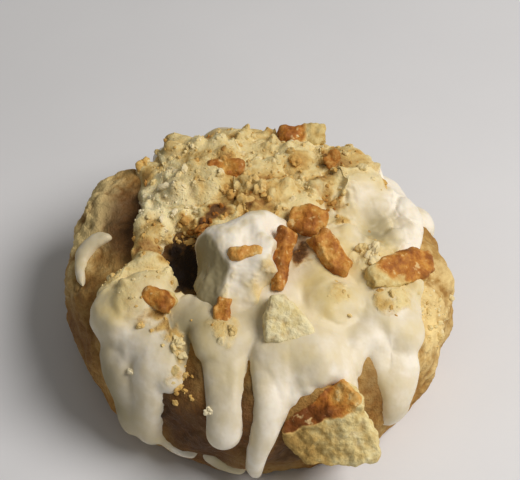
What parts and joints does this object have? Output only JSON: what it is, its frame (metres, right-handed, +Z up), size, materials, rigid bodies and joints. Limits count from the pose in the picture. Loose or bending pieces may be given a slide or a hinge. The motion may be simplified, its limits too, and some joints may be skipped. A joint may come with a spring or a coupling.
{
  "type": "banana pudding cookie",
  "caption": "Thick domed cookie under poured pale icing that runs down its side in drips, topped with broken vanilla wafers and wafer crumbs.",
  "frame": {"origin": "middle of the flat underside, on the surface that the cookie stands on", "axes": "+Z up, -Y towards the front with the longest drips and the largest broken wafer, +X to the right"},
  "size_m": [0.0876, 0.0926, 0.0421],
  "materials": {
    "dough": "baked dough, golden brown, matt and craggy",
    "icing": "set icing, warm cream, smooth with a soft shine",
    "wafer": "baked wafer, brown crust and pale porous crumb"
  },
  "bodies": {
    "root": {"dough": "dough", "icing": "icing", "icing_curl": "icing", "coated_wafer": "icing", "wafer_front": "wafer", "wafer_top": "wafer", "wafer_slant": "wafer", "wafer_upright": "wafer", "wafer_right": "wafer", "wafer_pale": "wafer", "wafer_back": "wafer", "wafer_rear": "wafer", "wafer_left": "wafer", "wafer_middle": "wafer", "wafer_on_mound": "wafer"}
  },
  "joints": []
}
